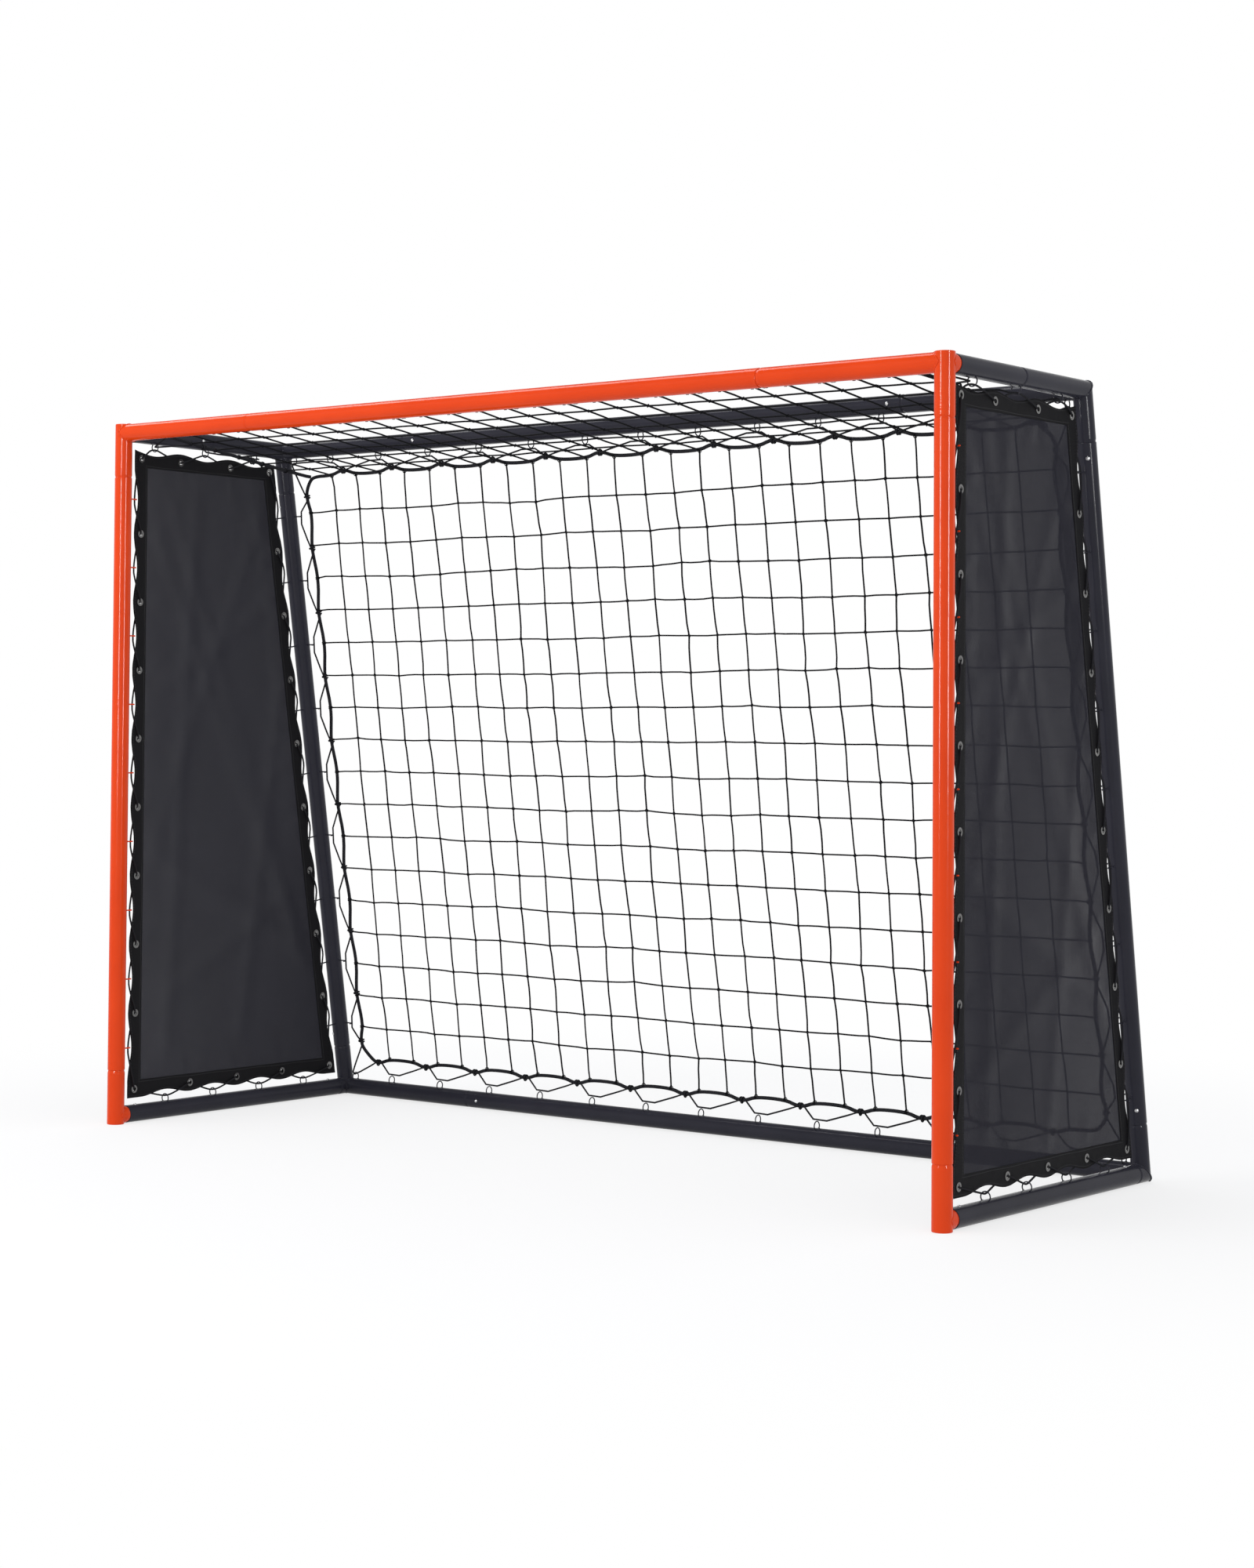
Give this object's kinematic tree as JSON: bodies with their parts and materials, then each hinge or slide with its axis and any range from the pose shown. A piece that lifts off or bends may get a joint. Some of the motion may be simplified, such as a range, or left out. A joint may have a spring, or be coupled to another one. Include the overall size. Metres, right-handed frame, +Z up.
{
  "type": "backyard goal with side panels",
  "caption": "Free-standing goal of plug-together steel tubes with a slanted back, a knotted net behind and above, and a laced mesh panel at each side.",
  "frame": {"origin": "on the ground, midway between the front and the rear tubes and midway between the two sides", "axes": "+X along the crossbar to the right side seen from the pitch, +Y from the mouth to the back, +Z up"},
  "size_m": [2.743, 1.0128, 1.981],
  "materials": {
    "orange_paint": "gloss",
    "orange_plastic": "satin",
    "charcoal_paint": "satin",
    "bright_steel": "satin",
    "net_string": "matte",
    "black_cord": "matte",
    "mesh_fabric": "matte",
    "black_webbing": "matte"
  },
  "bodies": {
    "frame": {"crossbar_middle": "orange_paint", "front_left_top_corner": "orange_paint", "front_right_top_corner": "orange_paint", "left_front_post": "orange_paint", "right_front_post": "orange_paint", "front_left_foot_corner": "orange_paint", "front_right_foot_corner": "orange_paint", "rear_top_bar_middle": "charcoal_paint", "rear_left_top_corner": "charcoal_paint", "rear_right_top_corner": "charcoal_paint", "left_rear_post": "charcoal_paint", "right_rear_post": "charcoal_paint", "rear_left_foot_corner": "charcoal_paint", "rear_right_foot_corner": "charcoal_paint", "rear_ground_bar_middle": "charcoal_paint", "left_top_side_bar": "charcoal_paint", "right_top_side_bar": "charcoal_paint", "left_base_side_bar": "charcoal_paint", "right_base_side_bar": "charcoal_paint", "post_caps": "orange_plastic", "button_springs": "bright_steel", "front_pins": "orange_paint", "rear_post_pins": "charcoal_paint", "rear_bar_loops": "charcoal_paint", "side_bar_loops": "charcoal_paint", "back_net": "net_string", "back_net_rope": "black_cord", "back_net_lacing": "black_cord", "top_net": "net_string", "top_net_rope": "black_cord", "top_net_lacing": "black_cord", "left_panel_sheet": "mesh_fabric", "right_panel_sheet": "mesh_fabric", "left_panel_hem": "black_webbing", "right_panel_hem": "black_webbing", "panel_grommets": "bright_steel", "left_panel_lacing": "black_cord", "right_panel_lacing": "black_cord"},
    "crossbar_left_button": {"crossbar_left_button": "bright_steel"},
    "crossbar_right_button": {"crossbar_right_button": "bright_steel"},
    "left_front_post_upper_button": {"left_front_post_upper_button": "bright_steel"},
    "right_front_post_upper_button": {"right_front_post_upper_button": "bright_steel"},
    "left_front_post_lower_button": {"left_front_post_lower_button": "bright_steel"},
    "right_front_post_lower_button": {"right_front_post_lower_button": "bright_steel"},
    "left_top_bar_front_button": {"left_top_bar_front_button": "bright_steel"},
    "right_top_bar_front_button": {"right_top_bar_front_button": "bright_steel"},
    "left_top_bar_rear_button": {"left_top_bar_rear_button": "bright_steel"},
    "right_top_bar_rear_button": {"right_top_bar_rear_button": "bright_steel"},
    "rear_top_bar_left_button": {"rear_top_bar_left_button": "bright_steel"},
    "rear_top_bar_right_button": {"rear_top_bar_right_button": "bright_steel"},
    "left_rear_post_upper_button": {"left_rear_post_upper_button": "bright_steel"},
    "right_rear_post_upper_button": {"right_rear_post_upper_button": "bright_steel"},
    "left_rear_post_lower_button": {"left_rear_post_lower_button": "bright_steel"},
    "right_rear_post_lower_button": {"right_rear_post_lower_button": "bright_steel"},
    "left_base_bar_front_button": {"left_base_bar_front_button": "bright_steel"},
    "right_base_bar_front_button": {"right_base_bar_front_button": "bright_steel"},
    "left_base_bar_rear_button": {"left_base_bar_rear_button": "bright_steel"},
    "right_base_bar_rear_button": {"right_base_bar_rear_button": "bright_steel"},
    "rear_ground_bar_left_button": {"rear_ground_bar_left_button": "bright_steel"},
    "rear_ground_bar_right_button": {"rear_ground_bar_right_button": "bright_steel"}
  },
  "joints": [
    {"name": "crossbar_left_button_press", "type": "slide", "parent": "frame", "child": "crossbar_left_button", "axis": [0, -1, 0], "range_m": [0, 0.0055], "stiffness_N_per_m": 1000, "springref_m": -0.002, "deforming": ["button_springs"]},
    {"name": "crossbar_right_button_press", "type": "slide", "parent": "frame", "child": "crossbar_right_button", "axis": [0, -1, 0], "range_m": [0, 0.0055], "stiffness_N_per_m": 1000, "springref_m": -0.002, "deforming": ["button_springs"]},
    {"name": "left_front_post_upper_button_press", "type": "slide", "parent": "frame", "child": "left_front_post_upper_button", "axis": [0, -1, 0], "range_m": [0, 0.0055], "stiffness_N_per_m": 1000, "springref_m": -0.002, "deforming": ["button_springs"]},
    {"name": "right_front_post_upper_button_press", "type": "slide", "parent": "frame", "child": "right_front_post_upper_button", "axis": [0, -1, 0], "range_m": [0, 0.0055], "stiffness_N_per_m": 1000, "springref_m": -0.002, "deforming": ["button_springs"]},
    {"name": "left_front_post_lower_button_press", "type": "slide", "parent": "frame", "child": "left_front_post_lower_button", "axis": [0, -1, 0], "range_m": [0, 0.0055], "stiffness_N_per_m": 1000, "springref_m": -0.002, "deforming": ["button_springs"]},
    {"name": "right_front_post_lower_button_press", "type": "slide", "parent": "frame", "child": "right_front_post_lower_button", "axis": [0, -1, 0], "range_m": [0, 0.0055], "stiffness_N_per_m": 1000, "springref_m": -0.002, "deforming": ["button_springs"]},
    {"name": "left_top_bar_front_button_press", "type": "slide", "parent": "frame", "child": "left_top_bar_front_button", "axis": [-1, 0, 0], "range_m": [0, 0.0055], "stiffness_N_per_m": 1000, "springref_m": -0.002, "deforming": ["button_springs"]},
    {"name": "right_top_bar_front_button_press", "type": "slide", "parent": "frame", "child": "right_top_bar_front_button", "axis": [1, 0, 0], "range_m": [0, 0.0055], "stiffness_N_per_m": 1000, "springref_m": -0.002, "deforming": ["button_springs"]},
    {"name": "left_top_bar_rear_button_press", "type": "slide", "parent": "frame", "child": "left_top_bar_rear_button", "axis": [-1, 0, 0], "range_m": [0, 0.0055], "stiffness_N_per_m": 1000, "springref_m": -0.002, "deforming": ["button_springs"]},
    {"name": "right_top_bar_rear_button_press", "type": "slide", "parent": "frame", "child": "right_top_bar_rear_button", "axis": [1, 0, 0], "range_m": [0, 0.0055], "stiffness_N_per_m": 1000, "springref_m": -0.002, "deforming": ["button_springs"]},
    {"name": "rear_top_bar_left_button_press", "type": "slide", "parent": "frame", "child": "rear_top_bar_left_button", "axis": [0, 1, 0], "range_m": [0, 0.0055], "stiffness_N_per_m": 1000, "springref_m": -0.002, "deforming": ["button_springs"]},
    {"name": "rear_top_bar_right_button_press", "type": "slide", "parent": "frame", "child": "rear_top_bar_right_button", "axis": [0, 1, 0], "range_m": [0, 0.0055], "stiffness_N_per_m": 1000, "springref_m": -0.002, "deforming": ["button_springs"]},
    {"name": "left_rear_post_upper_button_press", "type": "slide", "parent": "frame", "child": "left_rear_post_upper_button", "axis": [0.5, 0.855, 0.138], "range_m": [0, 0.0055], "stiffness_N_per_m": 1000, "springref_m": -0.002, "deforming": ["button_springs"]},
    {"name": "right_rear_post_upper_button_press", "type": "slide", "parent": "frame", "child": "right_rear_post_upper_button", "axis": [-0.5, 0.855, 0.138], "range_m": [0, 0.0055], "stiffness_N_per_m": 1000, "springref_m": -0.002, "deforming": ["button_springs"]},
    {"name": "left_rear_post_lower_button_press", "type": "slide", "parent": "frame", "child": "left_rear_post_lower_button", "axis": [0.5, 0.855, 0.138], "range_m": [0, 0.0055], "stiffness_N_per_m": 1000, "springref_m": -0.002, "deforming": ["button_springs"]},
    {"name": "right_rear_post_lower_button_press", "type": "slide", "parent": "frame", "child": "right_rear_post_lower_button", "axis": [-0.5, 0.855, 0.138], "range_m": [0, 0.0055], "stiffness_N_per_m": 1000, "springref_m": -0.002, "deforming": ["button_springs"]},
    {"name": "left_base_bar_front_button_press", "type": "slide", "parent": "frame", "child": "left_base_bar_front_button", "axis": [0, 0, -1], "range_m": [0, 0.0055], "stiffness_N_per_m": 1000, "springref_m": -0.002, "deforming": ["button_springs"]},
    {"name": "right_base_bar_front_button_press", "type": "slide", "parent": "frame", "child": "right_base_bar_front_button", "axis": [0, 0, -1], "range_m": [0, 0.0055], "stiffness_N_per_m": 1000, "springref_m": -0.002, "deforming": ["button_springs"]},
    {"name": "left_base_bar_rear_button_press", "type": "slide", "parent": "frame", "child": "left_base_bar_rear_button", "axis": [0, 0, -1], "range_m": [0, 0.0055], "stiffness_N_per_m": 1000, "springref_m": -0.002, "deforming": ["button_springs"]},
    {"name": "right_base_bar_rear_button_press", "type": "slide", "parent": "frame", "child": "right_base_bar_rear_button", "axis": [0, 0, -1], "range_m": [0, 0.0055], "stiffness_N_per_m": 1000, "springref_m": -0.002, "deforming": ["button_springs"]},
    {"name": "rear_ground_bar_left_button_press", "type": "slide", "parent": "frame", "child": "rear_ground_bar_left_button", "axis": [0, 1, 0], "range_m": [0, 0.0055], "stiffness_N_per_m": 1000, "springref_m": -0.002, "deforming": ["button_springs"]},
    {"name": "rear_ground_bar_right_button_press", "type": "slide", "parent": "frame", "child": "rear_ground_bar_right_button", "axis": [0, 1, 0], "range_m": [0, 0.0055], "stiffness_N_per_m": 1000, "springref_m": -0.002, "deforming": ["button_springs"]}
  ]
}
